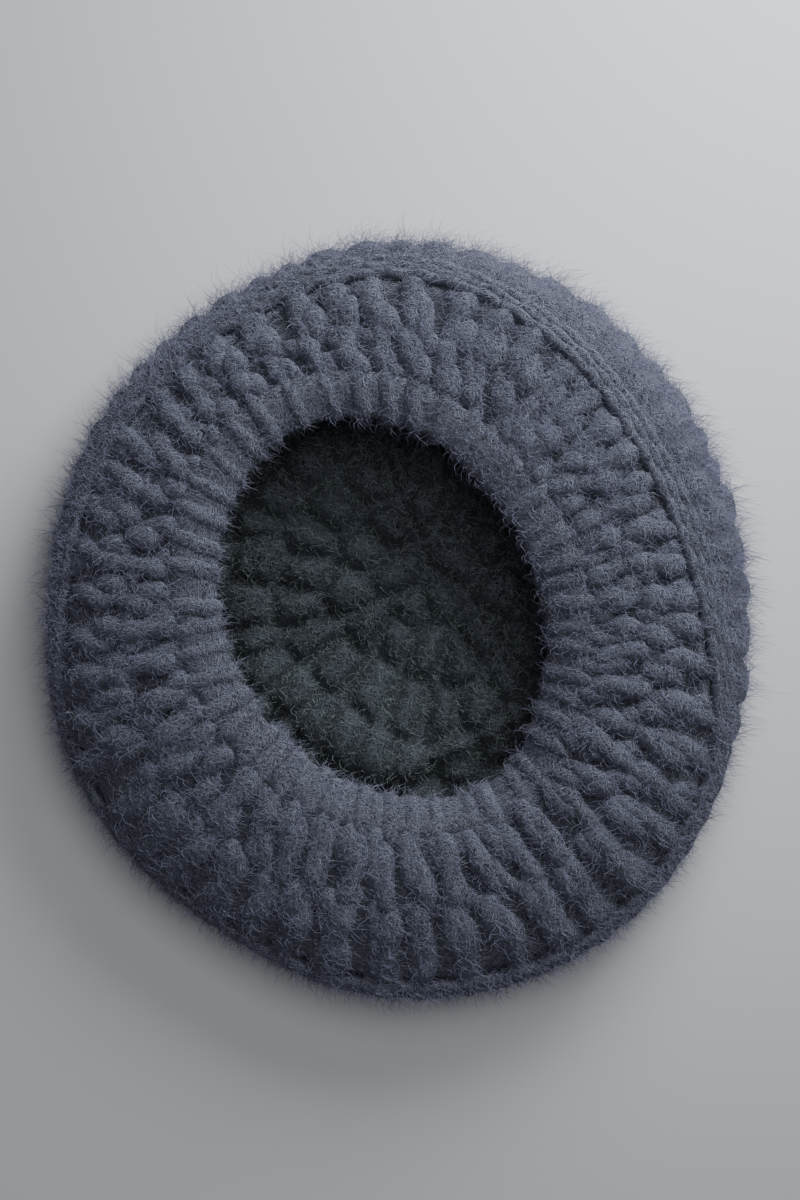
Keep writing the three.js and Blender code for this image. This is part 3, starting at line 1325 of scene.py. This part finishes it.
@dataclass
class PostRound:
    """One round of tall posts on the underside, each of two strands that twist round each other.

    first and last are shares of the way across the round. Below 0 or above 1, a post runs on under the
    neighbouring piece.
    """

    name: str
    start: Meeting
    end: Meeting
    slot: str
    brushed: FibreLook
    posts: int = 48
    path_points: int = 17
    strand: float = 0.0049
    spread: float = 0.0027
    depth: float = 0.0012
    dip: float = 0.0026
    dip_power: int = 8
    lean: float = 0.004
    swell: float = 0.0006
    first: float = -0.09
    last: float = 1.09
    bulge: float = 0.16
    bulges: float = 1.4
    stray: Span = Span(-0.13, 0.13)
    lean_share: Span = Span(0.4, 1.6)
    first_turn: Span = Span(-0.15, 0.35)
    twist: Span = Span(1.0, 1.5)
    size_share: Span = Span(0.9, 1.1)
    height: Span = Span(-0.0007, 0.0006)
    bulge_phase: Span = Span(0.0, 1.0)
    loop: float = 0.0025
    loop_reach: float = 0.6
    loop_points: int = 7
    loop_arch: float = 2.3
    loop_rise: float = 0.0011
    loop_sink: float = 0.0002
    loop_thinnest: float = 0.25
    loop_fuller_by: float = 0.85
    loop_tilt: Span = Span(-0.05, 0.05)
    yarn: YarnLook = YarnLook(12, 0.0030, 210.0)
    backing: float = 0.0050
    lint: FibreLook | None = None

    def place(self, shop: Workshop, clock: Points, share: Points, offset: Points) -> Points:
        """Finds places by clock angle and share of the way across the round.

        Args:
            shop: the workshop.
            clock: clock angles.
            share: shares of the way across.
            offset: how far off the middle of the cloth.

        Returns:
            The places, one row each.
        """
        first = shop.form.station(self.start, clock)
        last = shop.form.station(self.end, clock)
        return shop.form.place(clock, first + (last - first) * share, offset)

    def paths(self, shop: Workshop) -> StrandPaths:
        """Draws the strands of every post and its head loop.

        Args:
            shop: the workshop.

        Returns:
            The paths.
        """
        strands = StrandPaths()
        dice = shop.dice
        pitch = TURN / self.posts
        u = strand_steps(self.path_points)
        t = (self.first + self.last) / 2 + u * (self.last - self.first) / 2
        plump = rounded_ends(u)
        for post in range(self.posts):
            middle = (post + 0.5 + self.stray.draw(dice)) * pitch
            radius = self._radius(shop, middle)
            lean = math.degrees(self.lean / radius) * self.lean_share.draw(dice)
            turn = math.pi * (self.first_turn.draw(dice) + self.twist.draw(dice) * t)
            size = self.size_share.draw(dice)
            high = self.height.draw(dice)
            for side in (1, -1):
                across = side * self.spread * np.cos(turn)
                off = side * self.depth * np.sin(turn) + self.swell * plump + high
                off -= self.dip * u**self.dip_power
                clock = middle + lean * (t - 0.5) + np.degrees(across / radius)
                wave = 2 * math.pi * (self.bulges * t + self.bulge_phase.draw(dice))
                thick = self.strand * size * plump * (1 + self.bulge * np.sin(wave))
                self._lay(shop, strands, clock, t, off, thick)
            self._head(shop, strands, middle + lean * 0.5, pitch)
        return strands

    def _lay(
        self, shop: Workshop, strands: StrandPaths, clock: Points, share: Points, off: Points, thick: Points
    ) -> None:
        """Lays one strand on the cloth.

        Args:
            shop: the workshop.
            strands: the paths that it joins.
            clock: its clock angles.
            share: its shares of the way across.
            off: how far off the middle of the cloth it lies.
            thick: its radius at each place.
        """
        path = self.place(shop, clock, share, off)
        strands.add(path, self.place(shop, clock, share, off + MM), thick)

    def _radius(self, shop: Workshop, clock: float) -> float:
        """Measures how far from the hat's middle the round's middle is.

        Args:
            shop: the workshop.
            clock: the clock angle.

        Returns:
            The distance.
        """
        spot = self.place(shop, np.array([clock]), np.array([0.5]), np.array([0.0]))[0]
        middle = shop.form.middle
        return float(math.hypot(spot[0] - middle[0], spot[1] - middle[1]))

    def _head(self, shop: Workshop, strands: StrandPaths, clock: float, pitch: float) -> None:
        """Draws the sunken loop at a post's head, lying along the round.

        Args:
            shop: the workshop.
            strands: the paths that it joins.
            clock: the head's clock angle.
            pitch: the angle from post to post.
        """
        s = np.linspace(-self.loop_reach, self.loop_reach, self.loop_points)
        arch = np.cos(s * self.loop_arch)
        tilt = self.loop_tilt.draw(shop.dice)
        off = self.loop_rise * arch - self.loop_sink
        thick = self.loop * (self.loop_thinnest + self.loop_fuller_by * arch)
        self._lay(shop, strands, clock + s * pitch, 1.0 + tilt * s, off, thick)

    def build(self, shop: Workshop) -> None:
        """Builds the round, its fibres and its lint.

        Args:
            shop: the workshop.
        """
        yarn = shop.spin(self.name, self.paths(shop), Finish.SLATE, self.yarn)
        shop.brush(self.name + "_fibres", yarn, self.brushed, self.slot)
        if self.lint:
            shop.brush(self.name + "_lint", yarn, self.lint, self.slot)
        back = shop.backing(self.name + "_back", self.start, self.end, self.backing)
        shop.finish_piece(self.name + "_yarn", [yarn, back], self.slot, self.name)


@dataclass
class EdgeRidge:
    """The ridge of unworked chain loops between the crown and the underside."""

    brushed: FibreLook
    name: str = "edge_ridge"
    slot: str = "ridge_wool"
    loops: int = 62
    steps_a_loop: int = 8
    wander: float = 0.8
    wanders: int = 9
    strand: float = 0.0023
    strand_share: float = 0.97
    strand_wave: float = 0.07
    strand_phase: float = 0.6
    spread: float = 0.0027
    inward: float = 0.0001
    side_wave: float = 0.00025
    proud: float = 0.0011
    proud_wave: float = 0.0003
    yarn: YarnLook = YarnLook(10, 0.0010)
    backing: float = 0.0064
    crisp_clock: float = 45.0
    crisp_reach: float = 1.6
    crisp_thinning: float = 0.9

    def build(self, shop: Workshop) -> None:
        """Builds the ridge's three strands, its backing and its fibres.

        Args:
            shop: the workshop.
        """
        yarn = shop.spin(self.name, self._strands(shop.form), Finish.SLATE, self.yarn)
        self._comb(shop.form, yarn)
        shop.brush(self.name + "_fibres", yarn, self.brushed, self.slot)
        back = shop.backing("edge_ridge_back", Meeting.RIDGE_START, Meeting.RIDGE_END, self.backing)
        shop.finish_piece(self.name + "_yarn", [yarn, back], self.slot, self.name)

    def _strands(self, form: HatForm) -> StrandPaths:
        """Draws the three strands, each a third of a wave behind the next.

        Args:
            form: the hat's form.

        Returns:
            The paths.
        """
        clocks = clock_steps(self.loops * self.steps_a_loop)
        start = form.station(Meeting.RIDGE_START, clocks)
        middle = (start + form.station(Meeting.RIDGE_END, clocks)) / 2
        wander = self.wander * np.sin(np.radians(clocks) * self.wanders)
        wave = np.radians(clocks) * self.loops + wander
        strands = StrandPaths()
        for side in (1, 0, -1):
            phase = side * math.tau / 3
            along = middle + self.inward + side * self.spread + self.side_wave * np.sin(wave + phase)
            off = form.wall / 2 + self.proud + self.proud_wave * np.cos(wave + phase)
            fuller = self.strand_wave * np.sin(wave + phase + self.strand_phase)
            thick = self.strand * (self.strand_share + fuller)
            above = form.place(clocks, along, off + MM)
            strands.add(form.place(clocks, along, off), above, thick, closed=True)
        return strands

    def _comb(self, form: HatForm, yarn: bpy.types.Mesh) -> None:
        """Thins the fibres where the ridge shows crisp.

        Args:
            form: the hat's form.
            yarn: the ridge's yarn, with its cover.
        """
        places = rows_of(yarn.vertices, "co", len(yarn.vertices))
        clock = np.arctan2(places[:, 0] - form.middle[0], places[:, 1] - form.middle[1])
        crisp = ramp(self.crisp_reach * np.cos(clock - math.radians(self.crisp_clock)))
        set_values(yarn, "cover", get_values(yarn, "cover") * (1 - self.crisp_thinning * crisp))


@dataclass
class OpeningBand:
    """The rolled band round the head opening: plump stitches over a soft core, with a fluffy edge."""

    brushed: FibreLook
    name: str = "opening_band"
    slot: str = "band_wool"
    stitches: int = 48
    path_points: int = 17
    strand: float = 0.0040
    proud: float = 0.0006
    start_under: float = 0.003
    flat_share: float = 0.45
    roll_turn: float = 1.1
    sway_middle: float = 0.4
    stray: Span = Span(-0.2, 0.2)
    sway: Span = Span(-0.25, 0.35)
    height: Span = Span(-0.0005, 0.0005)
    size_share: Span = Span(0.92, 1.12)
    yarn: YarnLook = YarnLook(12, 0.0024)
    core_below: float = 0.0007
    core_steps: int = 216
    core_bend_points: int = 9

    def build(self, shop: Workshop) -> None:
        """Builds the band's stitches, its core and its fibres.

        Args:
            shop: the workshop.
        """
        # The band's stitches take the lighter rim wool: painted light on the rolled rim.
        yarn = shop.spin(self.name, self._stitches(shop), Finish.RIM, self.yarn)
        shop.brush(self.name + "_fibres", yarn, self.brushed, self.slot)
        shop.finish_piece(self.name + "_yarn", [yarn, self._core(shop)], self.slot, self.name)

    def _stitches(self, shop: Workshop) -> StrandPaths:
        """Draws the stitches, each running flat and then rolling over the edge.

        Args:
            shop: the workshop.

        Returns:
            The paths.
        """
        form = shop.form
        dice = shop.dice
        strands = StrandPaths()
        pitch = TURN / self.stitches
        roll = form.wall / 2 + form.band_puff + self.proud - self.strand
        u = strand_steps(self.path_points)
        t = 0.5 + u / 2
        straight = ramp(t, self.flat_share)
        rolled = ramp(t - self.flat_share, 1 - self.flat_share)
        bend = rolled * math.pi * self.roll_turn
        for stitch in range(self.stitches):
            middle = (stitch + 0.5 + self.stray.draw(dice)) * pitch
            sway = self.sway.draw(dice)
            clock = middle + sway * (t - self.sway_middle) * pitch
            start = form.station(Meeting.BAND, clock) - self.start_under
            end = form.station(Meeting.END, clock)
            length = start + (end - start) * straight + roll * np.sin(bend)
            off = roll * np.cos(bend) + self.height.draw(dice)
            thick = self.strand * rounded_ends(u) * self.size_share.draw(dice)
            above = form.place(clock, length + MM * np.sin(bend), off + MM * np.cos(bend))
            strands.add(form.place(clock, length, off), above, thick)
        return strands

    def _core(self, shop: Workshop) -> bpy.types.Mesh:
        """Makes the matted core that the band's stitches are rolled over.

        Args:
            shop: the workshop.

        Returns:
            The core.
        """
        form = shop.form
        clocks = clock_steps(self.core_steps)[:, None]
        start = form.station(Meeting.BAND, clocks)
        end = form.station(Meeting.END, clocks)
        radius = form.wall / 2 + form.band_puff - self.core_below
        bend = np.linspace(0.0, math.pi, self.core_bend_points)[None, :]
        arc_length = end + radius * np.sin(bend)
        arc_off = radius * np.cos(bend) + 0 * end
        half_way = (start + end) / 2
        lengths = np.concatenate([start, half_way, arc_length, half_way, start], axis=1)
        side = np.ones_like(start) * radius
        offs = np.concatenate([side, side, arc_off, -side, -side], axis=1)
        mesh = ring_mesh("band_core", form.place(clocks, lengths, offs))
        # The core takes the same lighter rim wool: painted light on the rolled rim.
        mesh.materials.append(shop.materials[Finish.RIM])
        return mesh


@dataclass(frozen=True)
class Crease:
    """A fold of the crown's inside, where a mound drops into a pocket beside the rim.

    end_fade and end_past are shares of the fold's own length.
    """

    start: tuple[float, float] = (-0.010, -0.064)
    end: tuple[float, float] = (0.056, -0.034)
    height: float = 0.0075
    mound: float = 0.020
    drop: float = 0.0028
    end_fade: float = 0.4
    end_past: float = 0.15

    def lift(self, x: Points, y: Points) -> Points:
        """Works out how far the fold lifts the cloth.

        Args:
            x: places' X.
            y: places' Y.

        Returns:
            The heights.
        """
        start = np.array(self.start)
        end = np.array(self.end)
        whole = np.linalg.norm(end - start)
        way = (end - start) / whole
        along = ((x - start[0]) * way[0] + (y - start[1]) * way[1]) / whole
        out = (x - start[0]) * way[1] - (y - start[1]) * way[0]
        near = np.exp(-np.square(np.where(out > 0, out / self.drop, out / self.mound)))
        fade_in = ramp(along + self.end_past, self.end_fade)
        fade_out = ramp(1 + self.end_past - along, self.end_fade)
        return self.height * near * np.square(np.sin(fade_in * fade_out * math.pi / 2))


@dataclass
class Crown:
    """The crown: rounds of plump stitches from its middle out over the floor and up to the ridge.

    What is named at, from, over, until, end or width is a share of the way out from the start, apart
    from low_over, which is a height as low_height is.
    """

    inside: FibreLook
    side: FibreLook
    strays: FibreLook
    name: str = "crown"
    slot: str = "crown_wool"
    rounds: int = 8
    increase: int = 8
    stitch_edge: float = 0.0120
    stitch_stray: Span = Span(-0.33, 0.33)
    round_stray: Span = Span(-0.22, 0.22)
    relief_inside: float = 0.0084
    relief_outside: float = 0.0040
    level_inside: float = 0.55
    level_outside: float = 0.6
    calm_side: float = 0.2
    calm_from: float = 0.6
    calm_over: float = 0.2
    edge_over: float = 0.06
    groove: float = 0.0030
    groove_width: float = 0.024
    second_groove: float = 0.0016
    second_groove_at: float = 0.895
    second_groove_width: float = 0.014
    start_x: float = 0.012
    start_y: float = 0.014
    start_power: float = 1.5
    steps: int = 288
    rows: int = 80
    least_height: float = 0.0003
    least_wall: float = 0.0012
    least_wall_until: float = 0.6
    crease: Crease = field(default_factory=Crease)
    crease_outside: float = 0.6
    crease_until: float = 0.75
    crease_over: float = 0.1
    thin_cover: float = 0.12
    inside_end: float = 0.62
    inside_over: float = 0.06
    side_from: float = 0.64
    side_over: float = 0.1
    fibres_end: float = 1.01
    fibres_end_over: float = 0.04
    low_cover: float = 0.3
    low_height: float = 0.006
    low_over: float = 0.010

    def spot(self, shop: Workshop, clock: Points, share: Points, offset: Points) -> Points:
        """Finds places by clock angle and share of the way from the crown's start to the ridge.

        Args:
            shop: the workshop.
            clock: clock angles.
            share: shares of the way out.
            offset: how far off the middle of the cloth.

        Returns:
            The places, one row each.
        """
        form = shop.form
        place = form.place(clock, form.station(Meeting.RIDGE_START, clock) * share, offset)
        shift = ramp(1 - share) ** self.start_power
        place[..., 0] += self.start_x * shift
        place[..., 1] += self.start_y * shift
        return place

    def _hubs(self, shop: Workshop, reach: float) -> Points:
        """Spreads the stitches' middles over the crown laid flat.

        Args:
            shop: the workshop.
            reach: how far it is from the crown's start to the ridge.

        Returns:
            The middles, one row each.
        """
        middles = []
        for number in range(1, self.rounds + 1):
            count = number * self.increase - self.increase // 2
            for stitch in range(count):
                turned = stitch + 0.5 * (number % 2) + self.stitch_stray.draw(shop.dice)
                angle = math.radians(turned * TURN / count)
                out = (number - 0.5 + self.round_stray.draw(shop.dice)) * reach / self.rounds
                middles.append((out * math.sin(angle), out * math.cos(angle)))
        return np.array(middles)

    def plumpness(self, shop: Workshop, clock: Points, share: Points) -> Points:
        """Works out how far each place swells out of its stitch.

        Args:
            shop: the workshop.
            clock: clock angles.
            share: shares of the way out.

        Returns:
            The swelling: 0 in the creases between stitches, 1 on top.
        """
        reach = float(np.mean(shop.form.station(Meeting.RIDGE_START, clock)))
        hubs = self._hubs(shop, reach)
        angle = np.radians(clock).reshape(-1)
        out = (share * reach).reshape(-1)
        places = np.stack([out * np.sin(angle), out * np.cos(angle)], axis=1)
        away = np.sqrt(np.sum(np.square(places[:, None, :] - hubs[None, :, :]), axis=2))
        nearest = np.partition(away, 1, axis=1)[:, :2]
        edge = ramp(nearest[:, 1] - nearest[:, 0], self.stitch_edge)
        return np.sin(edge * math.pi / 2).reshape(share.shape)

    def build(self, shop: Workshop) -> None:
        """Builds the crown, and its fibres inside and outside.

        Args:
            shop: the workshop.
        """
        shares, mesh = self._dish(shop)
        out = np.concatenate([[0.0, 0.0], shares.reshape(-1), shares.reshape(-1)])
        outer = np.concatenate([[1.0, 0.0], np.ones(shares.size), np.zeros(shares.size)])
        seen = ramp(self.inside_end - out, self.inside_over)
        set_values(mesh, "cover", (1 - outer) * (self.thin_cover + (1 - self.thin_cover) * seen))
        shop.brush("crown_fibres_inside", mesh, self.inside, self.slot)
        set_values(mesh, "cover", outer * self._side_cover(mesh, out))
        shop.brush("crown_fibres_side", mesh, self.side, self.slot)
        shop.brush("crown_stray_hairs", mesh, self.strays, self.slot)
        shop.finish_piece(self.name + "_yarn", [mesh], self.slot, self.name)

    def _side_cover(self, mesh: bpy.types.Mesh, out: Points) -> Points:
        """Works out how thickly the outer face is brushed: less near the floor and at the ridge.

        Args:
            mesh: the dish.
            out: each point's share of the way out.

        Returns:
            The cover.
        """
        heights = rows_of(mesh.vertices, "co", len(mesh.vertices))[:, 2]
        fold = self.low_cover + (1 - self.low_cover) * ramp(heights - self.low_height, self.low_over)
        side = np.maximum(fold * ramp(out - self.side_from, self.side_over), self.thin_cover)
        return side * ramp(self.fibres_end - out, self.fibres_end_over)

    def _dish(self, shop: Workshop) -> tuple[Points, bpy.types.Mesh]:
        """Makes the whole crown as one closed dish of stitches.

        Args:
            shop: the workshop.

        Returns:
            The shares of the way out of its rows, and the dish.
        """
        steps = self.steps
        rows = self.rows
        half = shop.form.wall / 2
        outwards = np.linspace(0.0, 1.0, rows + 1)[1:]
        clocks, shares = np.meshgrid(clock_steps(steps), outwards, indexing="ij")
        plump = self.plumpness(shop, clocks, shares)
        fade = ramp(1 - shares, self.edge_over)
        groove = self.groove * np.exp(-np.square((1 - shares) / self.groove_width))
        from_second = (self.second_groove_at - shares) / self.second_groove_width
        groove += self.second_groove * np.exp(-np.square(from_second))
        calm = 1 - self.calm_side * ramp(shares - self.calm_from, self.calm_over)
        swell_out = self.relief_outside * calm * (plump - self.level_outside) * fade
        swell_in = self.relief_inside * (plump - self.level_inside) * fade
        outer = self.spot(shop, clocks, shares, half + swell_out - groove)
        inner = self.spot(shop, clocks, shares, -half - swell_in)
        creased = ramp(self.crease_until - shares, self.crease_over)
        for face, much in ((outer, self.crease_outside), (inner, 1.0)):
            face[..., 2] += self.crease.lift(face[..., 0], face[..., 1]) * much * creased
        outer[..., 2] = np.maximum(outer[..., 2], self.least_height)
        wall = self.least_wall * (shares < self.least_wall_until)
        inner[..., 2] = np.maximum(inner[..., 2], outer[..., 2] + wall)
        hub = self.spot(shop, np.zeros(2), np.zeros(2), np.array([half, -half]))
        points = np.concatenate([hub, outer.reshape(-1, 3), inner.reshape(-1, 3)])
        mesh = mesh_from(self.name, points, self._faces(steps, rows))
        # The inner face takes the shaded inside wool: painted shade of the hat's hollow.
        for finish in (Finish.SLATE, Finish.INSIDE):
            mesh.materials.append(shop.materials[finish])
        first_inside = steps * rows + 2
        kinds = [int(all(v == 1 or v >= first_inside for v in p.vertices)) for p in mesh.polygons]
        mesh.polygons.foreach_set("material_index", kinds)
        return shares, mesh

    @staticmethod
    def _faces(steps: int, rows: int) -> list[tuple[int, ...]]:
        """Gives the dish's faces: outer face down, inner face up, and the edge that joins them.

        Args:
            steps: steps round the dish.
            rows: rows of points on each face.

        Returns:
            The corners of each face.
        """
        inside = steps * rows
        faces: list[tuple[int, ...]] = []
        for step in range(steps):
            here = 2 + step * rows
            there = 2 + (step + 1) % steps * rows
            faces.append((0, here, there))
            faces.append((1, there + inside, here + inside))
            for k in range(rows - 1):
                outer = (here + k, here + k + 1, there + k + 1, there + k)
                faces.append(outer)
                faces.append(tuple(inside + corner for corner in (outer[3], outer[2], outer[1], outer[0])))
            k = rows - 1
            faces.append((here + k, here + inside + k, there + inside + k, there + k))
        return faces


# The studio


@dataclass(frozen=True)
class Lamp:
    """A soft square light that faces the hat."""

    name: str
    place: tuple[float, float, float]
    size: float
    power: float
    colour: Colour


LAMPS = (
    Lamp("window", (0.25, 0.42, 0.35), 0.32, 4.2, (0.97, 0.98, 1.0)),
    Lamp("fill", (0.09, 0.12, 0.72), 0.42, 2.2, (1.0, 0.98, 0.99)),
    Lamp("from_below", (0.2, -0.3, -1.0), 1.0, 8.0, (1.0, 1.0, 1.0)),
)


@dataclass
class Studio:
    """A plain pale floor, soft window-like light and the camera above the hat.

    hat_x and hat_y are where the photograph has the hat's middle, in its pixels.
    """

    distance: float = 0.630
    metres_per_pixel: float = 0.000378
    image_width: int = 800
    image_height: int = 1200
    hat_x: float = 400.0
    hat_y: float = 615.0
    sensor: float = 36.0
    lamps_look_at: tuple[float, float, float] = (0.0, 0.0, 0.02)
    floor_half: float = 6.0
    floor_colour: Colour = (0.62, 0.63, 0.65)
    floor_roughness: float = 0.6
    surround_colour: Colour = (0.8, 0.85, 0.95)
    surround_strength: float = 0.085

    def build(self, form: HatForm) -> None:
        """Builds floor, lights, world and camera.

        Args:
            form: the hat's form, whose middle the framing follows.
        """
        self._floor()
        for lamp in LAMPS:
            self._light(lamp)
        self._surround()
        self._camera(form)

    def _floor(self) -> None:
        """Lays a wide plain floor."""
        half = self.floor_half
        corners = [(-half, -half, 0.0), (half, -half, 0.0), (half, half, 0.0), (-half, half, 0.0)]
        floor = bpy.data.objects.new("floor", mesh_from("floor", np.array(corners), [(0, 1, 2, 3)]))
        bpy.context.scene.collection.objects.link(floor)
        made = bpy.data.materials.new("pale_floor")
        made.use_nodes = True
        skin = made.node_tree.nodes["Principled BSDF"]
        skin.inputs["Base Color"].default_value = (*self.floor_colour, 1.0)
        skin.inputs["Roughness"].default_value = self.floor_roughness
        floor.data.materials.append(made)
        floor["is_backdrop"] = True

    def _light(self, lamp: Lamp) -> None:
        """Hangs one lamp.

        Args:
            lamp: its place, size, power and colour.
        """
        light = bpy.data.lights.new(lamp.name, "AREA")
        light.shape = "SQUARE"
        light.size = lamp.size
        light.energy = lamp.power
        light.color = lamp.colour
        holder = bpy.data.objects.new(lamp.name, light)
        holder.location = lamp.place
        look = Vector(self.lamps_look_at) - Vector(lamp.place)
        holder.rotation_euler = look.to_track_quat("-Z", "Y").to_euler()
        bpy.context.scene.collection.objects.link(holder)

    def _surround(self) -> None:
        """Sets a dim even surround."""
        world = bpy.data.worlds.new("surround")
        world.use_nodes = True
        back = world.node_tree.nodes["Background"]
        back.inputs["Color"].default_value = (*self.surround_colour, 1.0)
        back.inputs["Strength"].default_value = self.surround_strength
        bpy.context.scene.world = world

    def _camera(self, form: HatForm) -> None:
        """Sets a camera straight above, with the hat's middle where the photograph has it.

        Args:
            form: the hat's form.
        """
        scale = self.metres_per_pixel
        lens = bpy.data.cameras.new("camera")
        lens.sensor_fit = "VERTICAL"
        lens.sensor_height = self.sensor
        lens.lens = self.sensor * self.distance / (self.image_height * scale)
        camera = bpy.data.objects.new("camera", lens)
        x = form.middle[0] - (self.hat_x - self.image_width / 2) * scale
        y = form.middle[1] + (self.hat_y - self.image_height / 2) * scale
        camera.location = (x, y, form.fold_height + self.distance)
        bpy.context.scene.collection.objects.link(camera)
        bpy.context.scene.camera = camera


def write_sizes() -> None:
    """Writes the solids' box and the dressed part's box side by side."""
    boxes = {"cad": CAD_BOX, "visual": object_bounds()}
    plain = {name: [[float(v) for v in corner] for corner in box] for name, box in boxes.items()}
    LOG.info("sizes: %s", plain)


def main() -> None:
    """Builds the hat piece by piece, then the studio."""
    form = HatForm()
    LOG.info("hat's middle: %.5f %.5f", *form.middle)
    materials = {finish: finish.value.material() for finish in Finish}
    dice = np.random.default_rng(DICE_SEED)
    shop = Workshop(form, YarnTool(), FibreTool(HairShape()), materials, dice)
    Crown(
        inside=FibreLook(11500, 0.0062, 0.35, finish=Finish.SHADED_INSIDE_FIBRES, seed=51),
        side=FibreLook(14500, 0.0150, 0.7, 0.0001, seed=61),
        strays=FibreLook(90, 0.0200, 0.9, 0.0001, 0.012, segments=6, seed=62),
    ).build(shop)
    EdgeRidge(FibreLook(7000, 0.0090, 0.75, seed=31)).build(shop)
    PostRound(
        "outer_round",
        Meeting.RIDGE_END,
        Meeting.ROUNDS,
        "outer_round_wool",
        FibreLook(16000, seed=11),
        first=-0.11,
        lint=FibreLook(14, 0.0045, 0.8, 0.00016, 0.006, segments=4, finish=Finish.LINT, seed=5),
    ).build(shop)
    PostRound(
        "inner_round",
        Meeting.ROUNDS,
        Meeting.BAND,
        "inner_round_wool",
        FibreLook(11000, seed=21),
        strand=0.0042,
        spread=0.0022,
        lean=0.007,
    ).build(shop)
    OpeningBand(FibreLook(8000, 0.0070, 0.4, seed=41)).build(shop)
    Studio().build(form)
    write_sizes()


if __name__ == "__main__":
    main()
